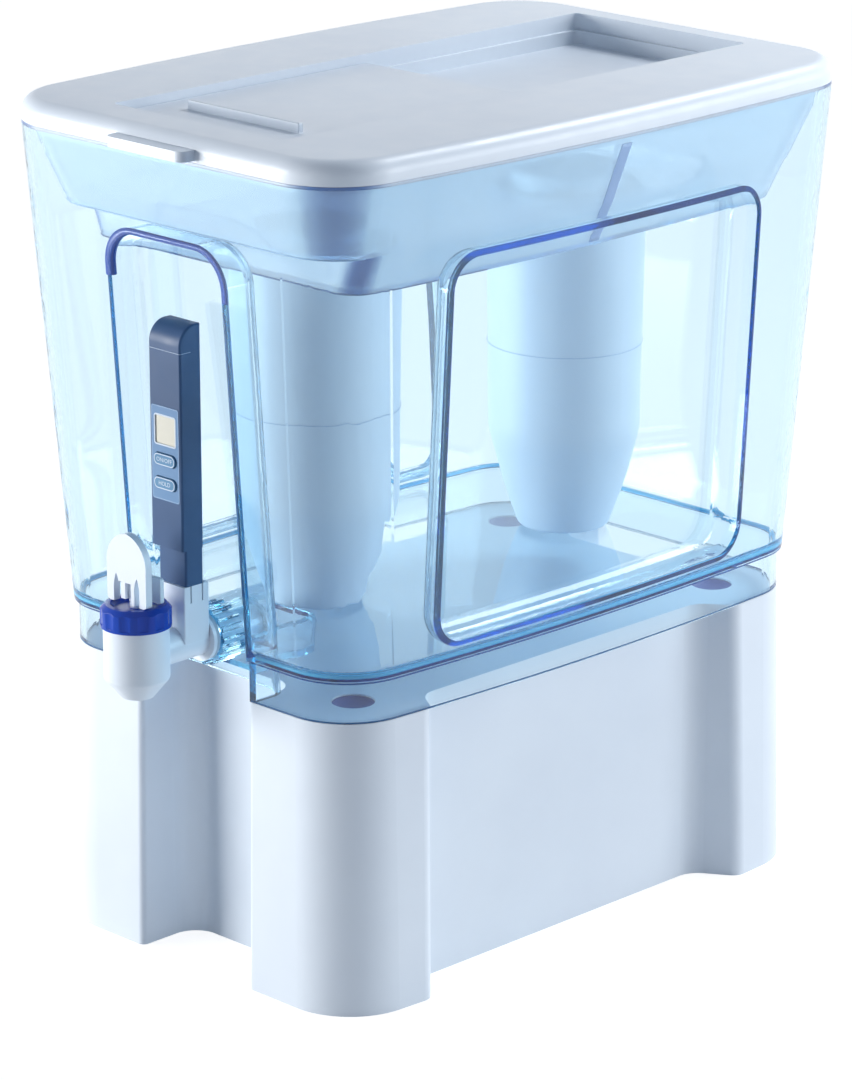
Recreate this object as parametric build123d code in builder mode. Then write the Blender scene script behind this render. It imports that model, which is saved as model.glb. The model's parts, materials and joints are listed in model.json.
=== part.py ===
from build123d import *
import os
from math import cos, pi, sin, sqrt

os.makedirs("parts", exist_ok=True)

# Gravity water dispenser: a clear tank on a white stand, with a filter tub hung in its rim,
# a lid with a sliding fill door, a lever tap in a front niche and a clip-in water meter.
# Millimetres, +Z up, -Y the tap side. The origin lies on the floor, under the middle of the outline.

# ---- overall outline, seen from above
rim_half_width = 122.0  # tank rim at its corners, across
rim_half_length = 191.8  # tank rim, front to back
rim_corner = 40.0
rim_bow = 9.0  # how far a long side swells past its corners
base_half_width = 107.4  # stand top and tank skirt
base_half_length = 172.0
base_corner = 36.0
base_bow = 8.0
stand_height = 154.0
skirt_height = 21.8  # tank floor above the stand's deck
rim_rise = 42.6  # rim above the niche's roof
wall_step = 1.8  # how far the tank wall overhangs its skirt

# ---- stand
foot_half_width = 111.0
foot_half_length = 174.6
foot_corner = 38.0
stand_wall = 3.0
side_recess_x = 92.5
side_recess_half = 103.0  # half the recess's flat back, along Y
side_recess_mouth = 119.0
front_recess_y = 137.0
front_recess_half = 40.0
recess_round = 14.0
pillar_round = 8.0  # outer corners of the side recesses
front_recess_round = 3.5
recess_reach = 40.0  # recess cutters, past the stand's outline
deck_socket_radius = 11.0
deck_socket_x = 76.0
deck_socket_y = 134.0

# ---- tank
tank_wall = 3.0
tank_floor = 3.0
floor_round = 4.0
window_half = 112.0
window_sill = 7.2  # window's lower edge above the tank floor
window_drop = 1.0  # window's upper edge below the niche's roof
window_depth = 13.0
window_corner = 16.0
niche_half = 41.0
niche_room = 41.0  # free height above the meter, to draw it out
niche_depth = 23.0
niche_corner = 18.0
pocket_round = 7.0
sump_half = 17.5
sump_depth = 17.3  # sump under the tap's nut, below the tank floor
sump_back_y = 106.0

# ---- tap, on the middle plane
tap_rise = 2.2  # shank axis above the underside of the tank floor
tap_axis_y = 210.1  # chamber axis, in front of the stand's middle
shank_radius = 8.0
shank_bore = 5.2
boss_radius = 15.8
boss_face_y = 165.3
boss_inner_y = 131.8
boss_inner_radius = 13.0
washer_radius = 12.8
front_washer_thickness = 2.0
rear_washer_thickness = 1.5
nut_thickness = 6.0
nut_radius = 13.4
shank_end_y = 119.0
pipe_radius = 9.4
flange_thick = 2.1
chamber_radius = 16.6
chamber_bore = 13.4
chamber_rise = 15.8  # chamber's top above the shank axis
taper_drop = 11.3  # spout taper's top below the shank axis
thread_rise = 2.2  # chamber neck inside the bonnet
thread_radius = 15.4
spout_drop = 21.2  # spout's mouth below the shank axis
spout_radius = 8.4
spout_bore = 4.8
seat_drop = 6.5  # valve seat below the shank axis
bonnet_radius = 17.9
bonnet_wall_rise = 9.2  # bonnet's wall above the chamber
bonnet_crest_rise = 2.6  # crest above the wall
bonnet_crest_radius = 15.4
bonnet_dish_drop = 2.2  # dish below the crest
stem_radius = 3.0
stem_gap = 4.0  # stem's foot above the valve seat
pin_rise = 6.1  # pin above the lever's feet
pin_radius = 1.5
lever_half = 14.4
lever_gap = 0.3  # lever's feet above the bonnet's crest
lever_height = 36.4
lever_front = 5.9  # paddle's front face, before the chamber axis
lever_thickness = 4.0
heel_half = 12.6
heel_back = 7.6  # heel's rear face, behind the chamber axis
heel_thickness = 2.2
heel_height = 13.3

# ---- filter tub, hung in the rim
flange_thickness = 1.8
tub_wall = 2.5
tub_rim_inset = 5.0  # tub wall inside the rim's edge, at the flange
tub_drop = 17.5  # tub's floor below the niche's roof
tub_low_half_width = 94.0
tub_low_half_length = 165.0
tub_low_corner = 24.0
tub_step_y = 151.0  # the tub steps back here to clear the niche
tub_step_corner = 16.0
tub_well_inset = 0.6  # the deep part sits this far inside the wall above it
tub_rib_width = 9.0
tub_rib_y = 9.0
tub_rib_depth = 2.2

# ---- filters
filter_front_y = 85.0  # in front of the middle
filter_rear_y = 98.0  # behind it
filter_wall = 2.0
filter_gap = 2.2  # filter's foot above the tank floor
filter_cone = 59.0  # foot to waist
filter_skirt = 43.0  # waist to seam
filter_shoulder_radius = 42.8
filter_seam_radius = 41.4
filter_low_radius = 24.0
seal_thickness = 1.5
neck_radius = 30.0
neck_rise = 7.0  # neck above the tub floor
lug_radius = 33.0
lug_width = 10.0

# ---- lid
lid_height = 11.9
lid_edge = 8.0
lid_wall = 2.5
channel_half = 61.0
channel_front_y = 165.0
channel_back_y = 172.0
ledge_drop = 9.0  # door ledge below the lid's top
fill_half = 52.0
fill_front_y = 158.0
fill_back_y = 4.0
tray_half = 58.5
tray_drop = 16.3  # tray floor below the lid's top
lip_inset = 9.7  # locating lip inside the rim's edge
lip_drop = 5.4  # lip below the lid's seat
lip_wall = 2.0
tab_half = 28.0
tab_reach = 8.7
door_gap = 0.4
door_length = 175.2
door_thickness = 4.5
grip_half = 40.0
grip_thickness = 3.0
grip_rise = 5.0
grip_y = 134.0

# ---- water meter and its clip on the tap's pipe
holder_half = 9.8
holder_front_y = 186.6
holder_back_y = 169.8
holder_rise = 2.0  # holder's foot above the shank axis
holder_height = 29.6
holder_wall = 1.5
cap_half = 10.0
cap_front_y = 185.2
cap_back_y = 173.6
cap_tip_half = 8.0
cap_tip_inset = 1.0
cap_tip_length = 19.0
cap_height = 19.4
cap_wall = 1.4
meter_length = 101.5  # body, up to the battery cover
head_height = 13.5
meter_half = 11.5
meter_front_y = 188.5
meter_back_y = 174.5
meter_wall = 1.6
head_round = 10.5
label_rise = 24.4  # label above the body's foot
label_height = 48.6
label_half = 10.0
screen_drop = 4.8  # display below the label's top
screen_height = 15.2
screen_half = 7.6
hold_button_rise = 9.0  # button's middle above the label's foot
button_pitch = 12.2
button_half = 8.0
button_height = 6.4
button_travel = 0.6
cell_radius = 5.8
cell_pitch = 13.0
cell_drop = 9.0  # upper cell's middle below the battery cover

fit_gap = 0.3  # clearance between pieces on different bodies
shaft_gap = 0.05  # radial running clearance of pins and rods

# ---- heights that follow, from the deck upwards
floor_low = stand_height + skirt_height
floor_top = floor_low + tank_floor
window_low = floor_top + window_sill
sump_floor = floor_top - sump_depth
tap_height = floor_low + tap_rise
seat_height = tap_height - seat_drop
spout_low = tap_height - spout_drop
chamber_taper_top = tap_height - taper_drop
chamber_top = tap_height + chamber_rise
bonnet_wall_top = chamber_top + bonnet_wall_rise
bonnet_crest = bonnet_wall_top + bonnet_crest_rise
bonnet_dish = bonnet_crest - bonnet_dish_drop
stem_low = seat_height + stem_gap
lever_low = bonnet_crest + lever_gap
lever_top = lever_low + lever_height
heel_top = lever_low + heel_height
pin_height = lever_low + pin_rise
holder_low = tap_height + holder_rise
holder_top = holder_low + holder_height
cap_tip_low = holder_top - cap_tip_length
meter_low = holder_top + cap_height
meter_seam = meter_low + meter_length
meter_top = meter_seam + head_height
label_low = meter_low + label_rise
label_top = label_low + label_height
screen_top = label_top - screen_drop
screen_low = screen_top - screen_height
hold_button_height = label_low + hold_button_rise
power_button_height = hold_button_height + button_pitch
niche_top = meter_top + niche_room
window_high = niche_top - window_drop
rim_height = niche_top + rim_rise
tub_low = niche_top - tub_drop
filter_low = floor_top + filter_gap
filter_waist_height = filter_low + filter_cone
filter_seam = filter_waist_height + filter_skirt

# the bounding box runs from the bonnet to the rear of the rim, so the stand sits back from the origin
centre_y = (tap_axis_y + bonnet_radius - rim_half_length) / 2


def level(height):
    """Horizontal plane at a height, centred on the stand."""
    return Plane(origin=(0, centre_y, height), x_dir=(1, 0, 0), z_dir=(0, 0, 1))


def facing_front(distance, height=0.0):
    """Upright plane that looks forward, a distance in front of the stand's middle; local Y is +Z."""
    return Plane(origin=(0, centre_y - distance, height), x_dir=(1, 0, 0), z_dir=(0, -1, 0))


def side_plane(offset=0.0):
    """Upright plane that looks along +X; local X is +Y from the stand's middle, local Y is +Z."""
    return Plane(origin=(offset, centre_y, 0), x_dir=(0, 1, 0), z_dir=(1, 0, 0))


def bowed_outline(half_width, half_length, corner, bow, front=None, front_corner=None):
    """Rounded rectangle whose two long sides swell outwards by bow; front cuts it short before the middle."""
    front = half_length if front is None else front
    front_corner = corner if front_corner is None else front_corner
    swell_radius = (half_length**2 + bow**2) / (2 * bow)

    def side(y):
        return half_width + bow - swell_radius + sqrt(swell_radius**2 - y**2)

    middle = (half_length - front) / 2
    with BuildSketch() as outline:
        with BuildLine():
            Line((-side(front), -front), (side(front), -front))
            ThreePointArc((side(front), -front), (side(middle), middle), (half_width, half_length))
            Line((half_width, half_length), (-half_width, half_length))
            ThreePointArc((-half_width, half_length), (-side(middle), middle), (-side(front), -front))
        make_face()
        fillet(outline.vertices().group_by(Axis.Y)[-1], corner)
        fillet(outline.vertices().group_by(Axis.Y)[0], front_corner)
    return outline.sketch


def at_height(low, high, low_value, high_value, height):
    """Value at a height, on the straight line through two known ones."""
    return low_value + (high_value - low_value) * (height - low) / (high - low)


def wall_outline(height, inset):
    """Outline of the tank wall at a height, moved inwards by inset."""
    def between(low_value, high_value):
        return at_height(floor_low, rim_height, low_value, high_value, height)
    half_length = between(base_half_length + wall_step, rim_half_length) - inset
    return bowed_outline(
        between(base_half_width + wall_step, rim_half_width) - inset,
        half_length,
        max(between(base_corner, rim_corner) - inset, 6),
        between(base_bow, rim_bow),
    )


def wall_y(height, inset=0.0):
    """How far the front wall's face stands in front of the middle at a height."""
    return at_height(floor_low, rim_height, base_half_length + wall_step, rim_half_length, height) - inset


# ---------------------------------------------------------------- stand
def stand_outline(half_width, half_length, corner, inset):
    """Stand section: a bowed rectangle with a recess in each side, its corners left as four pillars."""
    with BuildSketch() as section:
        add(bowed_outline(half_width, half_length, corner, base_bow))
        mouth = side_recess_half + 1.6 * (side_recess_mouth - side_recess_half)
        for side in (1, -1):
            with BuildLine():
                Polyline(
                    (side * side_recess_x, -side_recess_half),
                    (side * side_recess_x, side_recess_half),
                    (side * (side_recess_x + recess_reach), mouth),
                    (side * (side_recess_x + recess_reach), -mouth),
                    close=True,
                )
            make_face(mode=Mode.SUBTRACT)
        for end in (1, -1):
            with Locations((0, end * (front_recess_y + recess_reach))):
                Rectangle(2 * front_recess_half, 2 * recess_reach, mode=Mode.SUBTRACT)
        inner = section.vertices().filter_by(
            lambda v: abs(abs(v.X) - side_recess_x) < 0.5 or abs(abs(v.Y) - front_recess_y) < 0.5
        )
        fillet(inner, recess_round)
        fillet(
            section.vertices().filter_by(
                lambda v: abs(abs(v.X) - front_recess_half) < 0.5 and abs(v.Y) > front_recess_y + recess_round + 5
            ),
            front_recess_round,
        )
        fillet(
            section.vertices().filter_by(lambda v: abs(v.X) > half_width - 2 and abs(v.Y) < half_length - corner),
            pillar_round,
        )
        if inset:
            offset(amount=-inset, kind=Kind.INTERSECTION, mode=Mode.REPLACE)
    return section.sketch


with BuildPart() as stand:
    with BuildSketch(level(0)):
        add(stand_outline(foot_half_width, foot_half_length, foot_corner, 0))
    with BuildSketch(level(stand_height)):
        add(stand_outline(base_half_width, base_half_length, base_corner, 0))
    loft(ruled=True)
    with BuildSketch(level(0)):
        add(stand_outline(foot_half_width, foot_half_length, foot_corner, stand_wall))
    with BuildSketch(level(stand_height - stand_wall)):
        add(stand_outline(base_half_width, base_half_length, base_corner, stand_wall))
    loft(ruled=True, mode=Mode.SUBTRACT)
    with BuildSketch(level(stand_height)):
        with GridLocations(2 * deck_socket_x, 2 * deck_socket_y, 2, 2):
            Circle(deck_socket_radius)
    extrude(amount=-2 * stand_wall, mode=Mode.SUBTRACT)
stand.part.label = "stand"
export_step(stand.part, "parts/stand.step")


# ---------------------------------------------------------------- tank
def wall_block(low, high, inset):
    """Solid between two heights that follows the tank wall, moved inwards by inset."""
    with BuildPart() as block:
        with BuildSketch(level(low)):
            add(wall_outline(low, inset))
        with BuildSketch(level(high)):
            add(wall_outline(high, inset))
        loft(ruled=True)
    return block.part


def niche_block(grow):
    """Room the front niche takes from the wall; grow pushes each face out by a wall's thickness."""
    half = niche_half + grow
    top = niche_top + grow
    low = stand_height - 4
    with BuildPart() as block:
        with BuildSketch(facing_front(rim_half_length + 8)) as face:
            with Locations((0, (low + top) / 2)):
                Rectangle(2 * half, top - low)
            fillet(face.vertices().group_by(Axis.Y)[-1], niche_corner + grow)
        extrude(amount=-75)
        add(wall_block(low - 10, top + 10, niche_depth + grow), mode=Mode.SUBTRACT)
        back = block.faces().sort_by(Axis.Y)[-1]
        bottom = back.edges().sort_by(Axis.Z)[0]
        fillet(back.edges().filter_by(lambda e: e.center().Z > bottom.center().Z + 0.1), pocket_round + grow)
    return block.part


def window_block(side, grow):
    """Room one side window takes from the wall, its back following the swell of the wall."""
    with BuildPart() as block:
        with BuildSketch(side_plane(side * 70)):
            with Locations((0, (window_low + window_high) / 2)):
                RectangleRounded(
                    2 * (window_half + grow), window_high - window_low + 2 * grow, window_corner + grow
                )
        extrude(amount=side * 75)
        add(wall_block(window_low - 20, window_high + 20, window_depth + grow), mode=Mode.SUBTRACT)
        back = block.faces().sort_by(Axis.X)[0 if side > 0 else -1]
        fillet(back.edges(), pocket_round + grow)
    return block.part


niche_wall_y = wall_y(tap_height, niche_depth)  # front face of the niche's back wall at the tap

with BuildPart() as niche_room:
    add(niche_block(0))
with BuildPart() as niche_jacket:
    add(niche_block(tank_wall))
with BuildPart() as window_rooms:
    add(window_block(1, 0))
    add(window_block(-1, 0))
with BuildPart() as window_jackets:
    add(window_block(1, tank_wall))
    add(window_block(-1, tank_wall))

with BuildPart() as tank_hollow:
    add(wall_block(floor_top, rim_height, tank_wall))
    fillet(tank_hollow.edges().group_by(Axis.Z)[0], floor_round)
    add(niche_jacket.part, mode=Mode.SUBTRACT)
    add(window_jackets.part, mode=Mode.SUBTRACT)
    with BuildSketch(level(sump_floor)) as sump:
        with Locations((0, -(niche_wall_y + sump_back_y) / 2)):
            RectangleRounded(2 * sump_half, niche_wall_y - sump_back_y, 6)
    extrude(amount=floor_top - sump_floor + 1)
    add(niche_jacket.part, mode=Mode.SUBTRACT)

with BuildPart() as skirt_hollow:
    with BuildSketch(level(stand_height)):
        add(
            bowed_outline(
                base_half_width - tank_wall,
                base_half_length - tank_wall,
                base_corner - tank_wall,
                base_bow,
            )
        )
    extrude(amount=skirt_height)
    add(niche_jacket.part, mode=Mode.SUBTRACT)
    with BuildSketch(level(sump_floor - tank_wall)):
        with Locations((0, -(niche_wall_y + sump_back_y) / 2)):
            RectangleRounded(
                2 * (sump_half + tank_wall), niche_wall_y - sump_back_y + 2 * tank_wall, 6 + tank_wall
            )
    extrude(amount=skirt_height, mode=Mode.SUBTRACT)

with BuildPart() as tank:
    with BuildSketch(level(stand_height)):
        add(bowed_outline(base_half_width, base_half_length, base_corner, base_bow))
    extrude(amount=skirt_height)
    add(wall_block(floor_low, rim_height, 0))
    add(tank_hollow.part, mode=Mode.SUBTRACT)
    add(skirt_hollow.part, mode=Mode.SUBTRACT)
    add(niche_room.part, mode=Mode.SUBTRACT)
    add(window_rooms.part, mode=Mode.SUBTRACT)
    # boss for the tap, ribbed outside the wall and plain inside it
    with BuildSketch(facing_front(niche_wall_y - 0.5, tap_height)):
        Circle(boss_radius - 1.2)
        with PolarLocations(boss_radius - 1.6, 16):
            Circle(1.6)
    extrude(amount=boss_face_y - niche_wall_y + 0.5)
    with BuildSketch(facing_front(boss_inner_y, tap_height)):
        Circle(boss_inner_radius)
    extrude(amount=niche_wall_y - tank_wall / 2 - boss_inner_y)
    with BuildSketch(facing_front(boss_inner_y - 5, tap_height)):
        Circle(shank_radius + fit_gap)
    extrude(amount=boss_face_y - boss_inner_y + 10, mode=Mode.SUBTRACT)
tank.part.label = "tank"
export_step(tank.part, "parts/tank.step")


# ---------------------------------------------------------------- filter tub
flange_top = rim_height + flange_thickness
tub_floor_top = tub_low + tub_wall
shelf_low = niche_top + tank_wall + 2 * fit_gap
tub_rim_half_width = rim_half_width - tub_rim_inset
tub_rim_half_length = rim_half_length - tub_rim_inset


def rim_outline(inset):
    """The rim's outline moved inwards by inset."""
    return bowed_outline(rim_half_width - inset, rim_half_length - inset, rim_corner - inset, rim_bow)


def tub_outline(height, inset, front=None):
    """Outline of the tub's wall at a height, moved inwards by inset; front steps it back clear of the niche."""
    def between(low_value, high_value):
        return at_height(tub_low, rim_height, low_value, high_value, height)
    return bowed_outline(
        between(tub_low_half_width, tub_rim_half_width) - inset,
        between(tub_low_half_length, tub_rim_half_length) - inset,
        between(tub_low_corner, rim_corner - tub_rim_inset) - inset,
        between(base_bow, rim_bow),
        front,
        tub_step_corner - inset if front else None,
    )


def tub_block(low, high, inset):
    """Solid between two heights that follows the tub's wall, moved inwards by inset."""
    with BuildPart() as block:
        with BuildSketch(level(low)):
            add(tub_outline(low, inset))
        with BuildSketch(level(high)):
            add(tub_outline(high, inset))
        loft(ruled=True)
    return block.part


def stepped_tub(low, high, inset):
    """Tub solid: full outline above the niche, stepped back in front below its top."""
    shelf = shelf_low + inset
    front = tub_step_y - inset
    with BuildPart() as block:
        with BuildSketch(level(low)):
            add(tub_outline(low, inset + tub_well_inset, front))
        with BuildSketch(level(shelf)):
            add(tub_outline(shelf, inset + tub_well_inset, front))
        loft(ruled=True)
        add(tub_block(shelf, high, inset))
    return block.part


with BuildPart() as tub_room:
    add(stepped_tub(tub_floor_top, flange_top + 1, tub_wall))
    fillet(tub_room.faces().sort_by(Axis.Z)[0].edges(), 3)
with BuildPart() as tub_ribs:
    with BuildSketch(level(tub_low)):
        for side in (1, -1):
            with Locations((side * tub_rim_half_width, tub_rib_y)):
                Rectangle(60, tub_rib_width)
    extrude(amount=flange_top - lip_drop - 1 - tub_low)
    add(tub_block(tub_low - 5, rim_height + 5, tub_wall + tub_rib_depth), mode=Mode.SUBTRACT)
with BuildPart() as tub_hollow:
    add(tub_room.part)
    add(tub_ribs.part, mode=Mode.SUBTRACT)

with BuildPart() as reservoir:
    with BuildSketch(level(rim_height)):
        add(rim_outline(0))
    extrude(amount=flange_thickness)
    add(stepped_tub(tub_low, rim_height, 0))
    add(tub_hollow.part, mode=Mode.SUBTRACT)
    with BuildSketch(level(tub_low - 1)):
        with Locations((0, -filter_front_y), (0, filter_rear_y)):
            Circle(neck_radius + fit_gap)
            Rectangle(lug_width + 2, 2 * (lug_radius + fit_gap))
    extrude(amount=tub_wall + 2, mode=Mode.SUBTRACT)
reservoir.part.label = "reservoir"
export_step(reservoir.part, "parts/reservoir.step")


# ---------------------------------------------------------------- lid
lid_top = flange_top + lid_height
ledge_top = lid_top - ledge_drop
tray_top = lid_top - tray_drop
plate_low = lid_top - lid_wall


def lid_rectangle(half, front, back, corner):
    """Rounded rectangle from front to back, measured from the stand's middle."""
    with BuildSketch() as shape:
        with Locations((0, (back - front) / 2)):
            RectangleRounded(2 * half, front + back, corner)
    return shape.sketch


with BuildPart() as lid_room:
    with BuildSketch(level(flange_top)):
        add(rim_outline(lid_wall))
    extrude(amount=plate_low - flange_top)
    fillet(lid_room.edges().group_by(Axis.Z)[-1], lid_edge - lid_wall)
    # channel walls and tray stay, so they're kept out of the room
    with BuildSketch(level(ledge_top - lid_wall)):
        add(
            lid_rectangle(
                channel_half + lid_wall, channel_front_y + lid_wall, channel_back_y + lid_wall, 3 + lid_wall
            )
        )
    extrude(amount=lid_height, mode=Mode.SUBTRACT)
    with BuildSketch(level(flange_top - 1)):
        add(lid_rectangle(tray_half + lid_wall, lid_wall - fill_back_y, channel_back_y, 4 + lid_wall))
    extrude(amount=lid_height, mode=Mode.SUBTRACT)

with BuildPart() as lid:
    with BuildSketch(level(flange_top)):
        add(rim_outline(0))
    extrude(amount=lid_height)
    fillet(lid.edges().group_by(Axis.Z)[-1], lid_edge)
    add(lid_room.part, mode=Mode.SUBTRACT)
    # tray behind the fill opening, hanging below the lid's seat
    with BuildSketch(level(tray_top - lid_wall)):
        add(lid_rectangle(tray_half + lid_wall, lid_wall - fill_back_y, channel_back_y, 4 + lid_wall))
    extrude(amount=ledge_top - tray_top + lid_wall)
    # locating lip
    with BuildSketch(level(flange_top - lip_drop)):
        add(rim_outline(lip_inset))
        add(rim_outline(lip_inset + lip_wall), mode=Mode.SUBTRACT)
    extrude(amount=plate_low - flange_top + lip_drop)
    # front tab
    with BuildSketch(level(flange_top + 1)) as tab:
        with Locations((0, -rim_half_length - (tab_reach - 6) / 2)):
            RectangleRounded(2 * tab_half, tab_reach + 6, 5)
    extrude(amount=5.4)
    # door channel, fill opening and tray
    with BuildSketch(level(ledge_top)):
        add(lid_rectangle(channel_half, channel_front_y, channel_back_y, 3))
    extrude(amount=ledge_drop + 1, mode=Mode.SUBTRACT)
    with BuildSketch(level(tray_top)):
        add(lid_rectangle(tray_half, -fill_back_y, channel_back_y - lid_wall, 4))
    extrude(amount=ledge_top - tray_top + 1, mode=Mode.SUBTRACT)
    with BuildSketch(level(ledge_top - lid_wall - 1)):
        add(lid_rectangle(fill_half, fill_front_y, fill_back_y - lid_wall, 6))
    extrude(amount=lid_wall + 2, mode=Mode.SUBTRACT)
lid.part.label = "lid"
export_step(lid.part, "parts/lid.step")

with BuildPart() as lid_door:
    with BuildSketch(level(ledge_top)):
        add(
            lid_rectangle(
                channel_half - door_gap,
                channel_front_y - door_gap,
                door_length - channel_front_y + door_gap,
                3 - door_gap,
            )
        )
    extrude(amount=door_thickness)
    chamfer(lid_door.edges().group_by(Axis.Z)[-1], 0.6)
    with BuildSketch(level(ledge_top)):
        add(
            lid_rectangle(
                channel_half - door_gap - 2,
                channel_front_y - door_gap - 2,
                door_length - channel_front_y + door_gap - 2,
                2,
            )
        )
    extrude(amount=door_thickness - 2, mode=Mode.SUBTRACT)
    with BuildSketch(level(ledge_top + door_thickness - 0.5)):
        with Locations((0, -grip_y + grip_thickness / 2)):
            Rectangle(2 * grip_half, grip_thickness)
    extrude(amount=grip_rise + 0.5)
    fillet(lid_door.edges().group_by(Axis.Z)[-1], 0.8)
lid_door.part.label = "lid_door"
export_step(lid_door.part, "parts/lid_door.step")

# ---------------------------------------------------------------- filters
shoulder_top = tub_low - seal_thickness
neck_top = tub_floor_top + neck_rise

with BuildPart() as filter_upper:
    with BuildSketch(Plane.XZ):
        with BuildLine():
            Polyline(
                (filter_seam_radius, filter_seam),
                (filter_shoulder_radius, shoulder_top - 3),
                (filter_shoulder_radius - 3, shoulder_top),
                (neck_radius, shoulder_top),
                (neck_radius, neck_top),
                (neck_radius - filter_wall, neck_top),
                (neck_radius - filter_wall, shoulder_top - filter_wall),
                (filter_shoulder_radius - 3.8, shoulder_top - filter_wall),
                (filter_shoulder_radius - filter_wall, shoulder_top - 3.8),
                (filter_seam_radius - filter_wall, filter_seam),
                close=True,
            )
        make_face()
    revolve(axis=Axis.Z)
    # bayonet lugs that hook over the tub's floor
    with BuildSketch(Plane.XY.offset(tub_floor_top + fit_gap)):
        Rectangle(2 * lug_radius, lug_width)
        Circle(lug_radius, mode=Mode.INTERSECT)
        Circle(neck_radius - filter_wall / 2, mode=Mode.SUBTRACT)
    extrude(amount=2.4)

with BuildPart() as filter_lower:
    with BuildSketch(Plane.XZ):
        with BuildLine():
            Spline(
                (filter_seam_radius - 0.4, filter_waist_height),
                (filter_seam_radius - 3, filter_waist_height - 15),
                (filter_seam_radius - 8.4, filter_waist_height - 35),
                (filter_seam_radius - 12.4, filter_waist_height - 47),
                (filter_low_radius + 1.2, filter_low + 1.2),
                tangents=[(0, -1), (-0.35, -1)],
            )
            Line((filter_low_radius + 1.2, filter_low + 1.2), (filter_low_radius, filter_low))
            Line((filter_low_radius, filter_low), (0, filter_low))
            Line((0, filter_low), (0, filter_seam))
            Line((0, filter_seam), (filter_seam_radius, filter_seam))
            Line((filter_seam_radius, filter_seam), (filter_seam_radius - 0.4, filter_waist_height))
        make_face()
    revolve(axis=Axis.Z)
    rim_face = filter_lower.faces().sort_by(Axis.Z)[-1]
    offset(amount=-filter_wall, openings=rim_face)
    with BuildSketch(Plane.XY.offset(filter_low - 1)):
        with PolarLocations(14, 8):
            Circle(2.4)
        Circle(3)
    extrude(amount=filter_wall + 2, mode=Mode.SUBTRACT)

with BuildPart() as filter_seal:
    with BuildSketch(Plane.XY.offset(shoulder_top)):
        Circle(filter_shoulder_radius - 3.4)
        Circle(neck_radius + fit_gap, mode=Mode.SUBTRACT)
    extrude(amount=seal_thickness)

with BuildPart() as filter_cap:
    with BuildSketch(Plane.XY.offset(neck_top)):
        Circle(neck_radius)
    extrude(amount=2)
    chamfer(filter_cap.edges().group_by(Axis.Z)[-1], 0.8)
    with BuildSketch(Plane.XY.offset(neck_top - 4)):
        Circle(neck_radius - filter_wall - 0.05)
        Circle(neck_radius - 2 * filter_wall, mode=Mode.SUBTRACT)
    extrude(amount=4)
    with BuildSketch(Plane.XY.offset(neck_top - 1)):
        for radius, count in ((7, 6), (14, 12), (21, 18)):
            with PolarLocations(radius, count):
                Circle(1.7)
    extrude(amount=4, mode=Mode.SUBTRACT)

for place, spot in (("front", -filter_front_y), ("rear", filter_rear_y)):
    for kind, piece in (
        ("upper_shell", filter_upper),
        ("lower_shell", filter_lower),
        ("seal", filter_seal),
        ("top_cap", filter_cap),
    ):
        with BuildPart() as filter_piece:
            with Locations((0, centre_y + spot, 0)):
                add(piece.part)
        filter_piece.part.label = f"filter_{place}_{kind}"
        export_step(filter_piece.part, f"parts/filter_{place}_{kind}.step")


# ---------------------------------------------------------------- tap
tap_y = centre_y - tap_axis_y
flange_back_y = boss_face_y + front_washer_thickness
rear_washer_y = boss_inner_y - rear_washer_thickness


def tap_profile(*points):
    """Solid of revolution about the chamber's axis, from (radius, height) points."""
    with BuildPart() as turned:
        with BuildSketch(Plane(origin=(0, tap_y, 0), x_dir=(1, 0, 0), z_dir=(0, -1, 0))):
            with BuildLine():
                Polyline(*points, close=True)
            make_face()
        revolve(axis=Axis((0, tap_y, 0), (0, 0, 1)))
    return turned.part


with BuildPart() as tap_body:
    add(
        tap_profile(
            (0, spout_low),
            (spout_radius, spout_low),
            (chamber_radius, chamber_taper_top),
            (chamber_radius, chamber_top),
            (thread_radius, chamber_top),
            (thread_radius, chamber_top + thread_rise),
            (0, chamber_top + thread_rise),
        )
    )
    fillet(tap_body.edges().filter_by(lambda e: abs(e.center().Z - chamber_taper_top) < 0.1), 3)
    with BuildSketch(facing_front(flange_back_y, tap_height)):
        Circle(pipe_radius)
    extrude(amount=tap_axis_y - flange_back_y)
    with BuildSketch(facing_front(flange_back_y, tap_height)):
        Circle(washer_radius)
    extrude(amount=flange_thick)
    with BuildSketch(facing_front(shank_end_y, tap_height)):
        Circle(shank_radius)
    extrude(amount=flange_back_y - shank_end_y + 1)
    chamfer(tap_body.faces().sort_by(Axis.Y)[-1].edges(), 0.8)
    # chamber, valve seat, spout and water way
    add(
        tap_profile(
            (0, spout_low - 1),
            (spout_bore, spout_low - 1),
            (spout_bore, seat_height),
            (spout_bore + 1.2, seat_height),
            (spout_bore + 2.2, seat_height - 3),
            (chamber_bore - 2.5, seat_height - 3),
            (chamber_bore, seat_height + 1),
            (chamber_bore, chamber_top),
            (thread_radius - 1.3, chamber_top),
            (thread_radius - 1.3, chamber_top + thread_rise + 1),
            (0, chamber_top + thread_rise + 1),
        ),
        mode=Mode.SUBTRACT,
    )
    with BuildSketch(facing_front(shank_end_y - 1, tap_height)):
        Circle(shank_bore)
    extrude(amount=tap_axis_y - shank_end_y - chamber_bore + 3, mode=Mode.SUBTRACT)
tap_body.part.label = "tap_body"
export_step(tap_body.part, "parts/tap_body.step")

with BuildPart() as tap_front_washer:
    with BuildSketch(facing_front(boss_face_y, tap_height)):
        Circle(washer_radius)
        Circle(shank_radius + shaft_gap, mode=Mode.SUBTRACT)
    extrude(amount=front_washer_thickness)
tap_front_washer.part.label = "tap_front_washer"
export_step(tap_front_washer.part, "parts/tap_front_washer.step")

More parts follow.
